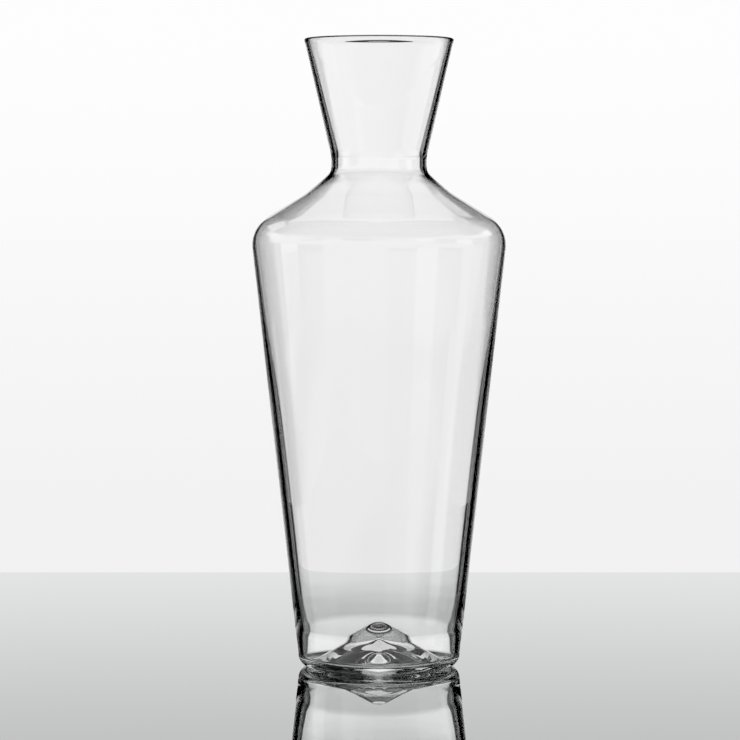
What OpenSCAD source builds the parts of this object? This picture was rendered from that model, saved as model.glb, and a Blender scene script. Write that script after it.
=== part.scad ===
// Wine decanter: one mouth-blown piece of clear glass.
// The wall is one closed outline turned about Z. The decanter stands on z = 0, on a
// narrow ring under its heel. Inside the ring is a shallow hollow, and above it the middle
// of the base is pushed up into a peak of solid glass. All lengths are in millimetres.

/* [Overall] */
// Height from the standing ring to the top of the rim
total_h = 300; // [294:1:306]

/* [Mouth and neck] */
// Outside diameter of the rim
mouth_d = 71.2; // [68:0.2:74]
// Thickness of the wall at the rim, whose edge is fire-polished to a full round
rim_wall = 1.6; // [1.2:0.1:2.2]
// Outside diameter of the throat, the narrowest place
throat_d = 45.6; // [44.8:0.2:48]
// Inside diameter of the throat
bore_d = 41.8; // [40:0.2:42]
// Height at which the throat opens into the shoulder
throat_z = 239; // [236:0.5:242]
// Height of the straight part of the throat, on the inside
bore_h = 5; // [4:0.5:6]
// Height of the straight part of the throat, on the outside
band_h = 3.5; // [2:0.5:5]
// Radius of the turn from the throat into the flared neck
neck_turn_r = 14; // [8:1:20]

/* [Shoulder and body] */
// Radius of the tight turn under the throat, on the outside
collar_r = 5; // [4:0.5:7]
// Slope of the shoulder where it leaves that turn
collar_slope = 45; // [42:1:48]
// Radius of the slow curve that flattens the shoulder
ease_r = 70; // [60:5:80]
// Slope of the straight part of the shoulder
shoulder_slope = 31.5; // [30:0.5:33]
// Radius of the turn from the shoulder into the body
shoulder_r = 16; // [14:0.5:18]
// Outside diameter at the widest place
body_d = 121.2; // [118:0.2:124]
// Angle at which the side runs in towards the base
side_angle = 6.35; // [5.8:0.05:6.8]

/* [Wall] */
// Thickness of the wall on the shoulder
shoulder_wall = 1.2; // [0.8:0.1:1.6]
// Thickness of the wall at the widest place
body_wall = 1.6; // [0.9:0.1:1.8]
// Thickness of the wall one third of the way up
lower_wall = 2.9; // [1.8:0.1:3.2]
// Thickness of the wall just above the heel
heel_wall = 3.8; // [3.6:0.1:4]

/* [Base] */
// Radius of the turn from the side into the standing ring
heel_r = 5.9; // [5.5:0.1:6.5]
// Width of the flat ring that the decanter stands on
ring_w = 1; // [0.8:0.1:1.5]
// Thickness of the glass at the lowest place inside
floor_t = 4; // [3.6:0.1:4.6]
// Diameter of the lowest place inside, a groove around the peak
groove_d = 67; // [65:0.5:68]
// Radius of the turn from the groove into the wall
groove_r = 2.7; // [2.2:0.1:3.2]
// Height of the peak inside
peak_z = 20.4; // [19.5:0.1:21.5]
// Radius of the tip of the peak
peak_tip_r = 8.4; // [7:0.2:9]
// Radius of the curve at the foot of the peak
peak_foot_r = 10; // [8:0.5:12]
// Height of the hollow under the base
hollow_z = 7.8; // [7:0.1:9]
// Radius of the top of the hollow
hollow_tip_r = 4; // [3:0.5:5]
// Radius of the curve from the hollow down into the standing ring
hollow_foot_r = 24; // [20:1:26]

/* [Hidden] */
$fn = 180;
ARC_STEPS = 14;
SIDE_STEPS = 32;
throat_r = throat_d / 2;
bore_r = bore_d / 2;
rim_r = rim_wall / 2;
rim_at = [mouth_d / 2 - rim_r, total_h - rim_r];
collar_at = [throat_r + collar_r, throat_z];
ease_at = collar_at + (ease_r - collar_r) * [sin(collar_slope), cos(collar_slope)];
ease_foot = ease_at - ease_r * [sin(shoulder_slope), cos(shoulder_slope)];
shoulder_at_r = body_d / 2 - shoulder_r;
// Height of the widest place, from the run of the straight part of the shoulder
body_z = ease_foot[1] - shoulder_r * cos(shoulder_slope)
    - (shoulder_at_r + shoulder_r * sin(shoulder_slope) - ease_foot[0]) * tan(shoulder_slope);
shoulder_at = [shoulder_at_r, body_z];
side_out = [cos(side_angle), -sin(side_angle)];
ring_out_r = (shoulder_at * side_out + shoulder_r - heel_r + heel_r * sin(side_angle)) / cos(side_angle);
heel_at = [ring_out_r, heel_r];
ring_in_r = ring_out_r - ring_w;
// Height below which the inside of the wall no longer follows the outside
heel_top_z = total_h * 0.04;
// Thickness of the wall at each height, from the heel up to the throat
WALLS = [
    [heel_top_z, heel_wall],
    [total_h * 0.11, lower_wall],
    [total_h * 0.2, lower_wall],
    [total_h * 0.36, lower_wall],
    [total_h * 0.45, (3 * lower_wall + body_wall) / 4],
    [total_h * 0.54, (lower_wall + 3 * body_wall) / 4],
    [total_h * 0.62, body_wall],
    [total_h * 0.72, shoulder_wall],
    [total_h * 0.77, shoulder_wall + 0.1],
    [throat_z, throat_r - bore_r]
];

// A station on an outline is a point and the direction that points out of the glass there.
// Stations on an arc about a centre: side is 1 where the glass bulges and -1 where it is hollow
function arc(at, rad, a0, a1, side = 1, steps = ARC_STEPS) =
    [for (i = [0:steps]) let (a = a0 + (a1 - a0) * i / steps, u = [cos(a), sin(a)]) [at + rad * u, side * u]];
// Stations on a straight line between the ends of two arcs, which are left out
function line(p, q, out, steps) = [for (i = [1:steps - 1]) [p + (q - p) * i / steps, out]];
// The points of a run of stations
function points(run) = [for (s = run) s[0]];
// The same points without the last one, which the next run starts with
function but_last(run) = [for (i = [0:len(run) - 2]) run[i]];
// The same points in the other order
function backwards(run) = [for (i = [len(run) - 1:-1:0]) run[i]];
// Angle from upright of the line that touches a circle at foot_at on its left and one at rim_at
function lean(foot_at, gap) =
    let (w = rim_at - foot_at) atan2(w[0], w[1]) + asin(gap / norm(w));
// Outline of a rounded cone, from its hollow foot in to its rounded top on the axis
function cone_outline(foot_at, foot_rad, top_z, tip_rad) =
    let (top_at = [0, top_z - tip_rad], w = foot_at - top_at,
         slope = atan2(-w[1], w[0]) + asin((foot_rad + tip_rad) / norm(w)))
    concat(points(arc(foot_at, foot_rad, 270, 270 - slope)), points(arc(top_at, tip_rad, 90 - slope, 90)));

// Outside of the neck: its foot is an arc that leaves the throat upright
neck_at = [throat_r + neck_turn_r, throat_z + band_h];
neck_lean = lean(neck_at, neck_turn_r + rim_r);
// Inside of the neck
neck_in_at = [bore_r + neck_turn_r, throat_z + bore_h];
neck_in_lean = lean(neck_in_at, neck_turn_r - rim_r);

// Outside of the body and shoulder, from the heel up to the throat
heel_turn = arc(heel_at, heel_r, -90, -side_angle);
shoulder_turn = arc(shoulder_at, shoulder_r, -side_angle, 90 - shoulder_slope);
side = line(heel_turn[ARC_STEPS][0], shoulder_turn[0][0], side_out, SIDE_STEPS);
upper = concat(
    shoulder_turn,
    line(shoulder_turn[ARC_STEPS][0], ease_foot, [sin(shoulder_slope), cos(shoulder_slope)], 6),
    arc(ease_at, ease_r, 270 - shoulder_slope, 270 - collar_slope, -1),
    arc(collar_at, collar_r, 270 - collar_slope - 5, 180, -1)
);

// Smooth thickness of the wall at height z: a curve through the rows of WALLS
function wall_slope(i) =
    let (a = WALLS[max(i - 1, 0)], b = WALLS[min(i + 1, len(WALLS) - 1)]) (b[1] - a[1]) / (b[0] - a[0]);
function wall_row(z, i = 0) = (i == len(WALLS) - 2 || z < WALLS[i + 1][0]) ? i : wall_row(z, i + 1);
function wall(z) =
    let (i = wall_row(z), a = WALLS[i], b = WALLS[i + 1], h = b[0] - a[0], t = (z - a[0]) / h)
    a[1] * (1 + 2 * t) * pow(1 - t, 2) + h * wall_slope(i) * t * pow(1 - t, 2)
    + b[1] * t * t * (3 - 2 * t) - h * wall_slope(i + 1) * t * t * (1 - t);
// Inside of the body and shoulder, from just above the heel up to the throat
inner = [for (s = concat(side, upper)) if (s[0][1] > heel_top_z) s[0] - wall(s[0][1]) * s[1]];
// The groove at the foot of the wall: a straight run comes down from the wall and touches it
groove_at = [groove_d / 2, floor_t + groove_r];
groove_w = inner[0] - groove_at;
groove_end = atan2(groove_w[1], groove_w[0]) - acos(groove_r / norm(groove_w));

outline = concat(
    backwards(cone_outline([ring_in_r, hollow_foot_r], hollow_foot_r, hollow_z, hollow_tip_r)),
    points(heel_turn),
    points(side),
    points(upper),
    points(arc(neck_at, neck_turn_r, 180, 180 - neck_lean, -1)),
    points(arc(rim_at, rim_r, -neck_lean, 180 - neck_in_lean)),
    points(arc(neck_in_at, neck_turn_r, 180 - neck_in_lean, 180)),
    backwards(inner),
    but_last(points(arc(groove_at, groove_r, groove_end, -90))),
    cone_outline([groove_d / 2, floor_t + peak_foot_r], peak_foot_r, peak_z, peak_tip_r)
);

module decanter() {
    color([0.86, 0.9, 0.89, 0.45])
        rotate_extrude() polygon(outline);
}

decanter();
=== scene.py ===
# %% [markdown]
# # A wine decanter in clear glass
#
# The decanter is one piece of mouth-blown glass, so this lesson has one piece and
# a lot of light. Clear glass has no colour of its own to show. What the eye reads is
# what the wall bends into view: bright studio through the thin middle, darkness from
# the sides of the room along the edges. So the lesson makes the wall with care, then
# spends as much care on the room around it.

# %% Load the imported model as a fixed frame
import math

import bmesh
import bpy
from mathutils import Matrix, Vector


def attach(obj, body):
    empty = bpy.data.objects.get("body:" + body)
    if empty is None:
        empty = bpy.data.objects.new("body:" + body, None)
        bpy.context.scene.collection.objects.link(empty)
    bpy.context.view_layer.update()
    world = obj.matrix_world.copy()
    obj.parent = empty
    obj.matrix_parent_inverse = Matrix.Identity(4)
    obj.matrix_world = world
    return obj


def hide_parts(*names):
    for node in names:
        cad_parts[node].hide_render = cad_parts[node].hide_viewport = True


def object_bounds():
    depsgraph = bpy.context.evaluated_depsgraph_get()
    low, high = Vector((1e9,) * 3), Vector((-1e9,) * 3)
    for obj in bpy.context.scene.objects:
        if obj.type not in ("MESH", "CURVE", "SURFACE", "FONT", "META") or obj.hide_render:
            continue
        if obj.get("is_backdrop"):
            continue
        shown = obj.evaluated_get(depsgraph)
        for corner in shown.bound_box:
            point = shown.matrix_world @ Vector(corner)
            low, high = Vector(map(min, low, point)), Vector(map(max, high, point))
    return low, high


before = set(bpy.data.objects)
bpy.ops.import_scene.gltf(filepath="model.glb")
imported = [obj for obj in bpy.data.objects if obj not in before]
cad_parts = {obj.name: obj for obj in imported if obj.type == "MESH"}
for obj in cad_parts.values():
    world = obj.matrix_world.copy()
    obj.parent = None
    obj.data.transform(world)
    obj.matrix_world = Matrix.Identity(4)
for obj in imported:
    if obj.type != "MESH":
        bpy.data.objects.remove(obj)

cad_box = [list(corner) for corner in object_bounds()]
(low_x, low_y, base_z), (high_x, high_y, rim_z) = cad_box
total_height = rim_z - base_z
print(f"the frame is {high_x - low_x:.4f} m across and {total_height:.4f} m tall")

# %% [markdown]
# ## The camera
#
# A long lens from a few paces away keeps the sides of tall glassware straight. It
# stands a little above the middle of the decanter and looks slightly down, so that it
# sees the rim from just below and the table from just above. It comes first because the
# room is built around what it sees.

# %% Set up the camera
SENSOR_WIDTH = 36.0      # millimetres
LENS = 150.96            # millimetres
CAMERA_DISTANCE = 4.94 * total_height
CAMERA_HEIGHT = CAMERA_DISTANCE * math.tan(math.radians(8.7))
CAMERA_PITCH = math.radians(3.27)
CAMERA_ASIDE = -0.0043   # the decanter stands slightly right of the middle

camera_data = bpy.data.cameras.new("camera")
camera_data.sensor_width = SENSOR_WIDTH
camera_data.lens = LENS
camera_data.clip_end = 20.0
camera = bpy.data.objects.new("camera", camera_data)
camera.location = (CAMERA_ASIDE, -CAMERA_DISTANCE, base_z + CAMERA_HEIGHT)
camera.rotation_euler = (math.pi / 2 - CAMERA_PITCH, 0.0, 0.0)
bpy.context.scene.collection.objects.link(camera)
bpy.context.scene.camera = camera
print(f"camera {CAMERA_DISTANCE:.3f} m away, {CAMERA_HEIGHT:.3f} m up")

# %% [markdown]
# ## The outline of the wall
#
# A glassblower turns the piece the whole time, so every level section is a circle, and
# one outline holds the whole shape. It could be drawn again here from radii and
# heights, but the CAD solid already has it, true to the last arc. Slicing a copy of
# that solid through its axis with bisect_plane, and keeping only the cut and one half of
# it, gives the outline as a chain of edges, with no number typed twice.

# %% Slice the CAD solid to get its outline
MERGE_DISTANCE = 1e-6    # metres
LONGEST_EDGE = 0.003     # metres


def cut_outline(node):
    """Return a bmesh that holds the outline of a turned solid, on the +X side of its axis."""
    solid = bmesh.new()
    solid.from_mesh(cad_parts[node].data)
    bmesh.ops.remove_doubles(solid, verts=solid.verts, dist=MERGE_DISTANCE)
    everything = solid.verts[:] + solid.edges[:] + solid.faces[:]
    cut = bmesh.ops.bisect_plane(
        solid, geom=everything, dist=MERGE_DISTANCE,
        plane_co=(0, 0, 0), plane_no=(0, 1, 0), clear_inner=True, clear_outer=True,
    )
    print(f"the cut through {node} has {len(cut['geom_cut'])} vertices and edges")
    axis = bmesh.ops.bisect_plane(
        solid, geom=solid.verts[:] + solid.edges[:], dist=MERGE_DISTANCE,
        plane_co=(0, 0, 0), plane_no=(1, 0, 0), clear_inner=True,
    )
    print(f"{len(axis['geom_cut'])} of them lie on the axis")
    return solid


# %% Divide the long straight edges
def divide_long_edges(mesh, longest):
    """Divide each edge of the outline until none is longer than the given length."""
    while True:
        long_edges = [edge for edge in mesh.edges if edge.calc_length() > longest]
        if not long_edges:
            return
        bmesh.ops.subdivide_edges(mesh, edges=long_edges, cuts=1)


outline = cut_outline("decanter")
divide_long_edges(outline, LONGEST_EDGE)
print(f"the outline has {len(outline.verts)} vertices and {len(outline.edges)} edges")

# %% [markdown]
# ## The glass itself
#
# The outline is turned about Z by the spin operator, which is what a lathe or a
# blowpipe does. A Screw modifier would do the same, but spin leaves a finished mesh at
# once. Its merge option joins the last copy to the first, and the two ends of the
# outline on the axis are joined into one point each by merging doubles. The shell is
# closed, with an outside and an inside, so light is bent where it really enters
# and leaves the glass, and the normals must all point out of the glass.

# %% Spin the outline
TURN_STEPS = 168

bmesh.ops.spin(
    outline, geom=outline.verts[:] + outline.edges[:], cent=(0, 0, 0), axis=(0, 0, 1),
    dvec=(0, 0, 0), angle=math.tau, steps=TURN_STEPS, use_merge=True, use_normal_flip=False,
)
bmesh.ops.remove_doubles(outline, verts=outline.verts, dist=MERGE_DISTANCE)
bmesh.ops.recalc_face_normals(outline, faces=outline.faces)
for face in outline.faces:
    face.smooth = True
open_edges = [edge for edge in outline.edges if not edge.is_manifold]
triangles = sum(len(face.verts) - 2 for face in outline.faces)
glass_volume = outline.calc_volume(signed=True)
print(f"{triangles} triangles, {len(open_edges)} open edges, {glass_volume * 1e6:.1f} cm3 of glass")

glass_mesh = bpy.data.meshes.new("blown_glass")
outline.to_mesh(glass_mesh)
outline.free()
blown_glass = bpy.data.objects.new("blown_glass", glass_mesh)
bpy.context.scene.collection.objects.link(blown_glass)
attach(blown_glass, "root")
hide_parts("decanter")

# %% [markdown]
# ## The finish of the glass
#
# Clear soda-lime or crystal glass is one Principled shader with all of its weight on
# transmission, no metal and an index of refraction of 1.52. Two things keep it from
# looking moulded by a machine. A mouth-blown wall is never perfectly even, so its
# surface carries long, very shallow waves that run round the piece. And the ring that it
# stands on is rubbed by every table. Both are drawn from Object coordinates, so they
# stay with the glass whichever way it is seen. The waves are a Bump node rather than
# real displacement: they are a hundredth of a millimetre high.

# %% Start the glass material
GLASS_IOR = 1.52
GLASS_TINT = (1.0, 1.0, 1.0, 1.0)

clear_glass = bpy.data.materials.new("clear_glass")
clear_glass.use_nodes = True
glass_tree = clear_glass.node_tree
glass_shader = glass_tree.nodes["Principled BSDF"]
glass_shader.inputs["Base Color"].default_value = GLASS_TINT
glass_shader.inputs["IOR"].default_value = GLASS_IOR
glass_shader.inputs["Transmission Weight"].default_value = 1.0
glass_mesh.materials.append(clear_glass)
print(f"clear glass with an index of refraction of {GLASS_IOR}")

# %% Add the shallow waves of blown glass
WAVE_STRETCH = (1.0, 1.0, 1.8)   # the waves are longer round the piece than up it
WAVE_SCALE = 22.0                # waves in a metre
WAVE_HEIGHT = 0.000003           # metres


def add_node(tree, kind, **settings):
    """Add a shader node and set its properties and inputs by name."""
    node = tree.nodes.new(kind)
    for name, value in settings.items():
        if hasattr(node, name):
            setattr(node, name, value)
        else:
            node.inputs[name.replace("_", " ")].default_value = value
    return node


glass_place = add_node(glass_tree, "ShaderNodeTexCoord")
wave_place = add_node(glass_tree, "ShaderNodeMapping", Scale=WAVE_STRETCH)
waves = add_node(glass_tree, "ShaderNodeTexNoise", Scale=WAVE_SCALE, Detail=1.0, Roughness=0.4)
wave_bump = add_node(glass_tree, "ShaderNodeBump", Strength=1.0, Distance=WAVE_HEIGHT)
glass_tree.links.new(glass_place.outputs["Object"], wave_place.inputs["Vector"])
glass_tree.links.new(wave_place.outputs["Vector"], waves.inputs["Vector"])
glass_tree.links.new(waves.outputs["Fac"], wave_bump.inputs["Height"])
glass_tree.links.new(wave_bump.outputs["Normal"], glass_shader.inputs["Normal"])
print(f"waves {WAVE_HEIGHT * 1000:.3f} mm high, about {1000 / WAVE_SCALE:.0f} mm long")

# %% Rub the standing ring
WORN_HEIGHT = 0.0003             # metres above the table
WORN_ROUGHNESS = 0.35
SCRATCH_SCALE = 900.0            # scratches in a metre

glass_height = add_node(glass_tree, "ShaderNodeSeparateXYZ")
scratches = add_node(glass_tree, "ShaderNodeTexNoise", Scale=SCRATCH_SCALE, Detail=3.0)
wear = add_node(glass_tree, "ShaderNodeMapRange", From_Min=base_z, From_Max=base_z + WORN_HEIGHT)
wear.inputs["To Min"].default_value = WORN_ROUGHNESS
wear.inputs["To Max"].default_value = 0.0
uneven_wear = add_node(glass_tree, "ShaderNodeMath", operation="MULTIPLY", use_clamp=True)
glass_tree.links.new(glass_place.outputs["Object"], glass_height.inputs[0])
glass_tree.links.new(glass_place.outputs["Object"], scratches.inputs["Vector"])
glass_tree.links.new(glass_height.outputs["Z"], wear.inputs["Value"])
glass_tree.links.new(wear.outputs["Result"], uneven_wear.inputs[0])
glass_tree.links.new(scratches.outputs["Fac"], uneven_wear.inputs[1])
glass_tree.links.new(uneven_wear.outputs[0], glass_shader.inputs["Roughness"])
print(f"the ring is worn up to {WORN_HEIGHT * 1000:.1f} mm")

# %% [markdown]
# ## The table
#
# The decanter stands on a small glossy table with round corners. The table is a stage,
# not a part of the object. A cube, flattened, with its four upright edges bevelled, is
# all it takes. It mirrors the glass sharply and darkens towards the front, because what
# it mirrors there is the darker top of the backdrop. A metallic shader with a pale grey
# colour gives an even mirror at every angle, which a varnish over paint wouldn't. A fine
# film of wiping marks, a little rougher in places, keeps it from being perfect.

# %% Make the table
TABLE_HALF = 0.365               # metres from the middle to each side
TABLE_CORNER = 0.15
TABLE_DEPTH = 0.012
CORNER_SEGMENTS = 24

table_mesh = bpy.data.meshes.new("table")
slab = bmesh.new()
bmesh.ops.create_cube(slab, size=1.0)
bmesh.ops.scale(slab, vec=(2 * TABLE_HALF, 2 * TABLE_HALF, TABLE_DEPTH), verts=slab.verts)
bmesh.ops.translate(slab, vec=(0, 0, base_z - TABLE_DEPTH / 2), verts=slab.verts)
upright = [
    edge for edge in slab.edges
    if abs(edge.verts[0].co.z - edge.verts[1].co.z) > TABLE_DEPTH / 2
]
bmesh.ops.bevel(
    slab, geom=upright, offset=TABLE_CORNER, affect="EDGES", segments=CORNER_SEGMENTS,
    profile=0.5, material=-1,
)
slab.to_mesh(table_mesh)
slab.free()
table = bpy.data.objects.new("table", table_mesh)
bpy.context.scene.collection.objects.link(table)
table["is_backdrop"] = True
print(f"a table {2 * TABLE_HALF:.2f} m square with corners of {TABLE_CORNER:.2f} m")

# %% Finish the table top
TABLE_COLOR = (0.648, 0.675, 0.66, 1.0)
WIPED_SCALE = 14.0               # wiping marks in a metre
WIPED_ROUGHNESS = 0.012

table_top = bpy.data.materials.new("table_top")
table_top.use_nodes = True
top_tree = table_top.node_tree
top_shader = top_tree.nodes["Principled BSDF"]
top_shader.inputs["Base Color"].default_value = TABLE_COLOR
top_shader.inputs["Metallic"].default_value = 1.0
top_place = add_node(top_tree, "ShaderNodeTexCoord")
wiping = add_node(top_tree, "ShaderNodeTexNoise", Scale=WIPED_SCALE, Detail=4.0, Distortion=1.5)
wiped = add_node(top_tree, "ShaderNodeMapRange", From_Min=0.45, From_Max=0.75)
wiped.inputs["To Min"].default_value = 0.0
wiped.inputs["To Max"].default_value = WIPED_ROUGHNESS
top_tree.links.new(top_place.outputs["Object"], wiping.inputs["Vector"])
top_tree.links.new(wiping.outputs["Fac"], wiped.inputs["Value"])
top_tree.links.new(wiped.outputs["Result"], top_shader.inputs["Roughness"])
table_mesh.materials.append(table_top)

# %% [markdown]
# ## The room
#
# Glass is lit by what stands around it. The usual way to photograph it is called bright
# field: a lit backdrop only a little wider than the camera's view, and black boards on
# both sides of it. The middle of the glass looks through to the backdrop, and the edges
# bend the view round to the boards, which draws them as dark lines.
#
# Panels could be hung as lit meshes, but here the room is painted on the world instead,
# from the direction of each ray alone: its heading round Z, and its elevation. That
# leaves nothing in the way of any camera, and every board is four angles and a level.
# Headings are degrees anticlockwise from +X, so the backdrop for this camera is at 90.

# %% Read the direction of each ray
world = bpy.data.worlds.new("studio")
bpy.context.scene.world = world
world.use_nodes = True
room = world.node_tree
room.nodes.clear()


def calculate(operation, first, second=0.0, third=0.0):
    """Add a Math node and return its output. Each input is a number or another output."""
    node = room.nodes.new("ShaderNodeMath")
    node.operation = operation
    for socket, value in zip(node.inputs, (first, second, third)):
        if isinstance(value, bpy.types.NodeSocket):
            room.links.new(value, socket)
        else:
            socket.default_value = value
    return node.outputs[0]


direction = room.nodes.new("ShaderNodeTexCoord")
parts = room.nodes.new("ShaderNodeSeparateXYZ")
room.links.new(direction.outputs["Generated"], parts.inputs[0])
DEGREES = 180 / math.pi
azimuth = calculate("MULTIPLY", calculate("ARCTAN2", parts.outputs["Y"], parts.outputs["X"]), DEGREES)
elevation = calculate("MULTIPLY", calculate("ARCSINE", parts.outputs["Z"]), DEGREES)

# %% [markdown]
# ### Ramps and boards
#
# Two helpers paint the whole room. The first is a smooth ramp from one level to another.
# The second hangs a board in front of what is already there, with soft edges, the way a
# real board is a little out of focus.

# %% Define the ramp and the board


def step_between(value, start, end, low=0.0, high=1.0):
    """Add a smooth ramp: low before start, high after end."""
    node = room.nodes.new("ShaderNodeMapRange")
    node.interpolation_type = "SMOOTHSTEP"
    room.links.new(value, node.inputs["Value"])
    node.inputs["From Min"].default_value = start
    node.inputs["From Max"].default_value = end
    for name, level in (("To Min", low), ("To Max", high)):
        if isinstance(level, bpy.types.NodeSocket):
            room.links.new(level, node.inputs[name])
        else:
            node.inputs[name].default_value = level
    return node.outputs["Result"]


BOARD_EDGE = 1.5                 # degrees over which the top and bottom of a board fade


def turned_from(heading):
    """Return how far each direction is turned from a heading, from 0 to 180 degrees."""
    return calculate("ABSOLUTE", calculate("WRAP", calculate("SUBTRACT", azimuth, heading), 180.0, -180.0))


def hang(behind, heading, half_width, bottom, top, level, soft=2.0):
    """Hang a board of a given level in front of what is behind it, and return the result.

    The board is centred on a heading. Its half width, bottom and top are angles in degrees.
    """
    cover = step_between(turned_from(heading), half_width, half_width + soft, 1.0, 0.0)
    cover = calculate("MULTIPLY", cover, step_between(elevation, bottom - BOARD_EDGE, bottom))
    cover = calculate("MULTIPLY", cover, step_between(elevation, top, top + BOARD_EDGE, 1.0, 0.0))
    change = calculate("SUBTRACT", level, behind)
    return calculate("MULTIPLY_ADD", change, cover, behind)


# %% [markdown]
# ### The fill, the ceiling and the black boards
#
# Behind the camera and to its sides is a soft grey fill. It is what the front of the
# glass reflects. Overhead, towards the backdrop, is a bright panel that lights the
# shoulder and the peak in the base. Black boards stand on both sides of the backdrop,
# and low in front there is none of the fill, which keeps the hollow under the base dark.

# %% Paint the fill, the ceiling and the boards
MAIN_HEADING = 90
FLAG_HALF_WIDTH = 44
LOW_FLAG_HALF_WIDTH = 56
CEILING_HALF_WIDTH = 45
CEILING_BOTTOM = 40
CEILING_FOOT_HALF_WIDTH = 20
CEILING_FOOT_BOTTOM = 30
CEILING_LEVEL = 0.75

fill_level = step_between(turned_from(MAIN_HEADING), 90, 150, 0.6, 0.55)
level = step_between(turned_from(MAIN_HEADING), 50, 90, 0.9, fill_level)
level = hang(level, MAIN_HEADING, 180, 24, 91, 0.06, soft=1)
level = hang(level, MAIN_HEADING, FLAG_HALF_WIDTH, -91, 60, 0.0, soft=8)
level = hang(level, MAIN_HEADING, LOW_FLAG_HALF_WIDTH, -9, 13, 0.0, soft=8)
level = hang(level, MAIN_HEADING, CEILING_HALF_WIDTH, CEILING_BOTTOM, 91, CEILING_LEVEL, soft=4)
level = hang(level, MAIN_HEADING, CEILING_FOOT_HALF_WIDTH, CEILING_FOOT_BOTTOM, 91, CEILING_LEVEL, soft=5)
level = hang(level, MAIN_HEADING - 180, 60, 19.5, 24, 0.05)

# %% [markdown]
# ### The other sides
#
# A piece is judged from all round, so three more backdrops wait where the side view and
# the two raised views look, each with its own black boards. The camera sees each one
# twice: directly, and mirrored in the table, at the same angle above the horizon. They
# are narrow enough that the main view never meets them.

# %% Hang the other boards and backdrops
OTHER_BOARD_HALF_WIDTH = 34
OTHER_BACKDROP_HALF_WIDTH = 9.5
backdrop_level = step_between(elevation, -7.0, 3.0, 0.885, 0.985)
OTHER_BOARDS = [                 # heading, bottom, top, level
    (180, -13, 4, 0.0),
    (135, -30, -20, 0.0),
    (135, 22, 38, 0.0),
    (-45, -13, -6, 0.0),
    (-45, -24, -13, 0.4),
    (-45, 15, 25, 0.4),
]
OTHER_BACKDROPS = [
    (180, -11, 5, backdrop_level),
    (180, 5, 12, 0.6),
    (135, -28, -16, 0.9),
    (135, 22, 36, 0.85),
    (-45, -18, -6, 0.82),
    (-45, 15, 24, 0.78),
]
for heading, bottom, top, board_level in OTHER_BOARDS:
    level = hang(level, heading, OTHER_BOARD_HALF_WIDTH, bottom, top, board_level, soft=6)
for heading, bottom, top, panel_level in OTHER_BACKDROPS:
    level = hang(level, heading, OTHER_BACKDROP_HALF_WIDTH, bottom, top, panel_level)
print(f"{len(OTHER_BOARDS)} boards and {len(OTHER_BACKDROPS)} backdrops for the other sides")

# %% [markdown]
# ### The main backdrop
#
# The backdrop is only a little wider than the view. It fades from a little grey at the
# table up to white, and again to grey above the view, which is what the front of the
# table mirrors. It is hung last, so it stands in front of everything else.

# %% Hang the main backdrop
BACKDROP_HALF_WIDTH = 12.5

mirror_level = step_between(elevation, 5.5, 11.0, backdrop_level, 0.66)
level = hang(level, MAIN_HEADING, BACKDROP_HALF_WIDTH, -11, 14, mirror_level, soft=1.5)

# %% Light the room
light = room.nodes.new("ShaderNodeBackground")
light.inputs["Color"].default_value = (1, 1, 1, 1)
room.links.new(level, light.inputs["Strength"])
out = room.nodes.new("ShaderNodeOutputWorld")
room.links.new(light.outputs[0], out.inputs["Surface"])
print(f"the room has {len(room.nodes)} nodes")

# %% [markdown]
# ## Bounces and tones
#
# A ray that meets the base of the decanter can cross a dozen surfaces before it leaves,
# and again in the table. A low limit would end it early and leave black blots, so the
# limit is high. The Standard view keeps the levels of the room as they are set, where a
# filmic one would grey the backdrop.

# %% Set the bounces and the view transform
BOUNCES = 32

scene = bpy.context.scene
scene.cycles.max_bounces = BOUNCES
scene.cycles.transmission_bounces = BOUNCES
scene.cycles.glossy_bounces = BOUNCES
scene.view_settings.view_transform = "Standard"
print(f"up to {BOUNCES} bounces")

# %% [markdown]
# ## Measure and finish
#
# The glass must be the size of the imported solid that it stands for. Both boxes are
# compared, and the largest difference between their corners is printed.

# %% Compare the two boxes and finish
bpy.context.view_layer.update()
visual_box = [list(corner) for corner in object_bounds()]
largest_difference = max(
    abs(ours - theirs)
    for our_corner, their_corner in zip(visual_box, cad_box)
    for ours, theirs in zip(our_corner, their_corner)
)
print(f"the glass differs from the solid by at most {largest_difference * 1000:.3f} mm")
